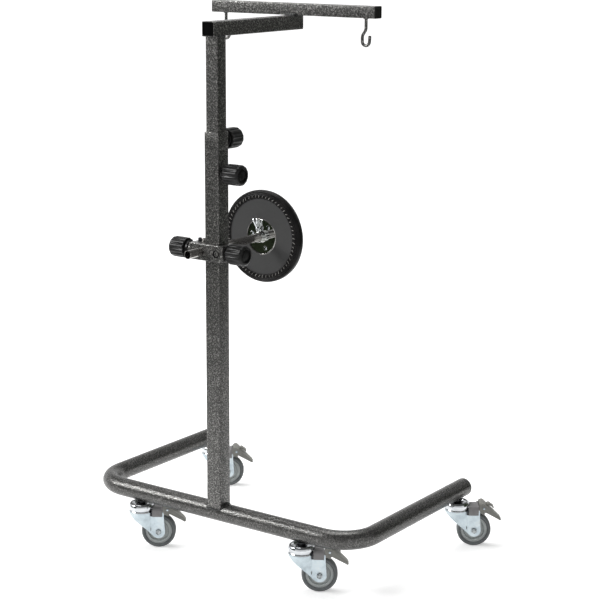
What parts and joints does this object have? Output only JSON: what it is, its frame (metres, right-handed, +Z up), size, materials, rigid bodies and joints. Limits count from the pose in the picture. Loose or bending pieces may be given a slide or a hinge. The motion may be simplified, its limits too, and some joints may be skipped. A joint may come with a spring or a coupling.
{
  "type": "gong stand",
  "caption": "Rolling height-adjustable gong stand: U base of round tube on braked casters, square posts, crossbar with hooks, and a padded disc on a rod that damps the gong.",
  "frame": {"origin": "on the floor, under the middle of the stand's bounding box", "axes": "+Z up the post, +X along the crossbar, +Y along the base arms towards the gong"},
  "size_m": [0.8596, 0.5852, 1.2621],
  "materials": {
    "hammertone": "dark grey hammertone paint on steel, semi-gloss",
    "black_plastic": "black moulded plastic, satin",
    "zinc_plate": "blue-white zinc plate on pressed steel",
    "chrome": "bright plated dome",
    "polished_steel": "polished steel",
    "black_steel": "blackened steel",
    "plain_steel": "plain turned steel",
    "hub_grey": "light grey moulded plastic",
    "tyre_grey": "grey non-marking rubber",
    "brake_grey": "grey moulded nylon, satin",
    "plate_grey": "flat dark grey sheet",
    "pad_black": "black coated cloth over foam, stitched hem"
  },
  "bodies": {
    "base": {"base_tube": "hammertone", "base_plug_left": "black_plastic", "base_plug_right": "black_plastic", "lower_post": "hammertone", "height_nut": "hammertone", "back_left_stem": "black_steel", "back_right_stem": "black_steel", "front_left_stem": "black_steel", "front_right_stem": "black_steel"},
    "upper_frame": {"upper_post": "hammertone", "cantilever": "hammertone", "cantilever_cap_back": "black_plastic", "cantilever_cap_front": "black_plastic", "crossbar": "hammertone", "crossbar_cap_left": "black_plastic", "crossbar_cap_right": "black_plastic", "hook_left": "hammertone", "hook_right": "hammertone"},
    "height_knob": {"height_knob": "black_plastic"},
    "collar": {"stop_collar": "hammertone", "collar_nut": "hammertone"},
    "collar_knob": {"collar_knob": "black_plastic"},
    "damper_clamp": {"clamp_body": "hammertone"},
    "post_clamp_knob": {"post_clamp_knob": "black_plastic"},
    "rod_knob": {"rod_knob": "black_plastic"},
    "damper_rod": {"damper_rod": "plain_steel"},
    "damper_disc": {"damper_flange": "polished_steel", "damper_wing_screw": "polished_steel", "damper_plate": "plate_grey", "damper_pad": "pad_black"},
    "back_left_swivel": {"back_left_head": "chrome", "back_left_fork": "zinc_plate", "back_left_axle": "zinc_plate", "back_left_brake_housing": "brake_grey"},
    "back_left_wheel": {"back_left_hub": "hub_grey", "back_left_tyre": "tyre_grey"},
    "back_left_pedal": {"back_left_brake_pedal": "brake_grey"},
    "back_right_swivel": {"back_right_head": "chrome", "back_right_fork": "zinc_plate", "back_right_axle": "zinc_plate", "back_right_brake_housing": "brake_grey"},
    "back_right_wheel": {"back_right_hub": "hub_grey", "back_right_tyre": "tyre_grey"},
    "back_right_pedal": {"back_right_brake_pedal": "brake_grey"},
    "front_left_swivel": {"front_left_head": "chrome", "front_left_fork": "zinc_plate", "front_left_axle": "zinc_plate", "front_left_brake_housing": "brake_grey"},
    "front_left_wheel": {"front_left_hub": "hub_grey", "front_left_tyre": "tyre_grey"},
    "front_left_pedal": {"front_left_brake_pedal": "brake_grey"},
    "front_right_swivel": {"front_right_head": "chrome", "front_right_fork": "zinc_plate", "front_right_axle": "zinc_plate", "front_right_brake_housing": "brake_grey"},
    "front_right_wheel": {"front_right_hub": "hub_grey", "front_right_tyre": "tyre_grey"},
    "front_right_pedal": {"front_right_brake_pedal": "brake_grey"}
  },
  "joints": [
    {"name": "height_slide", "type": "slide", "parent": "base", "child": "upper_frame", "axis": [0, 0, 1], "range_m": [-0.2, 0.3]},
    {"name": "collar_slide", "type": "slide", "parent": "base", "child": "collar", "axis": [0, 0, 1], "range_m": [0, 0.2]},
    {"name": "clamp_slide", "type": "slide", "parent": "base", "child": "damper_clamp", "axis": [0, 0, 1], "range_m": [-0.35, 0.12]},
    {"name": "rod_slide", "type": "slide", "parent": "damper_clamp", "child": "damper_rod", "axis": [0, 1, 0], "range_m": [-0.1, 0.04]},
    {"name": "disc_turn", "type": "hinge", "parent": "damper_rod", "child": "damper_disc", "pos_m": [-0.06487, -0.01258, 0.733], "axis": [0, 1, 0], "continuous": true},
    {"name": "height_knob_turn", "type": "hinge", "parent": "base", "child": "height_knob", "pos_m": [-0.00657, -0.22758, 0.908], "axis": [1, 0, 0], "range_deg": [0, 540]},
    {"name": "collar_knob_turn", "type": "hinge", "parent": "collar", "child": "collar_knob", "pos_m": [-0.03387, -0.20028, 0.9793], "axis": [0, 1, 0], "range_deg": [0, 540]},
    {"name": "post_clamp_knob_turn", "type": "hinge", "parent": "damper_clamp", "child": "post_clamp_knob", "pos_m": [-0.00257, -0.22758, 0.733], "axis": [1, 0, 0], "range_deg": [0, 540]},
    {"name": "rod_knob_turn", "type": "hinge", "parent": "damper_clamp", "child": "rod_knob", "pos_m": [-0.10617, -0.22758, 0.733], "axis": [-1, 0, 0], "range_deg": [0, 540]},
    {"name": "back_left_swivel_turn", "type": "hinge", "parent": "base", "child": "back_left_swivel", "pos_m": [-0.26387, -0.22758, 0.1], "axis": [0, 0, 1], "continuous": true},
    {"name": "back_left_wheel_roll", "type": "hinge", "parent": "back_left_swivel", "child": "back_left_wheel", "pos_m": [-0.2311, -0.20464, 0.04], "axis": [-0.5736, 0.8192, 0], "continuous": true},
    {"name": "back_left_brake_press", "type": "hinge", "parent": "back_left_swivel", "child": "back_left_pedal", "pos_m": [-0.21308, -0.19202, 0.095], "axis": [-0.5736, 0.8192, 0], "range_deg": [0, 12]},
    {"name": "back_right_swivel_turn", "type": "hinge", "parent": "base", "child": "back_right_swivel", "pos_m": [0.19613, -0.22758, 0.1], "axis": [0, 0, 1], "continuous": true},
    {"name": "back_right_wheel_roll", "type": "hinge", "parent": "back_right_swivel", "child": "back_right_wheel", "pos_m": [0.2289, -0.20464, 0.04], "axis": [-0.5736, 0.8192, 0], "continuous": true},
    {"name": "back_right_brake_press", "type": "hinge", "parent": "back_right_swivel", "child": "back_right_pedal", "pos_m": [0.24692, -0.19202, 0.095], "axis": [-0.5736, 0.8192, 0], "range_deg": [0, 12]},
    {"name": "front_left_swivel_turn", "type": "hinge", "parent": "base", "child": "front_left_swivel", "pos_m": [-0.39987, 0.21542, 0.1], "axis": [0, 0, 1], "continuous": true},
    {"name": "front_left_wheel_roll", "type": "hinge", "parent": "front_left_swivel", "child": "front_left_wheel", "pos_m": [-0.3671, 0.23836, 0.04], "axis": [-0.5736, 0.8192, 0], "continuous": true},
    {"name": "front_left_brake_press", "type": "hinge", "parent": "front_left_swivel", "child": "front_left_pedal", "pos_m": [-0.34908, 0.25098, 0.095], "axis": [-0.5736, 0.8192, 0], "range_deg": [0, 12]},
    {"name": "front_right_swivel_turn", "type": "hinge", "parent": "base", "child": "front_right_swivel", "pos_m": [0.33213, 0.21542, 0.1], "axis": [0, 0, 1], "continuous": true},
    {"name": "front_right_wheel_roll", "type": "hinge", "parent": "front_right_swivel", "child": "front_right_wheel", "pos_m": [0.3649, 0.23836, 0.04], "axis": [-0.5736, 0.8192, 0], "continuous": true},
    {"name": "front_right_brake_press", "type": "hinge", "parent": "front_right_swivel", "child": "front_right_pedal", "pos_m": [0.38292, 0.25098, 0.095], "axis": [-0.5736, 0.8192, 0], "range_deg": [0, 12]}
  ]
}
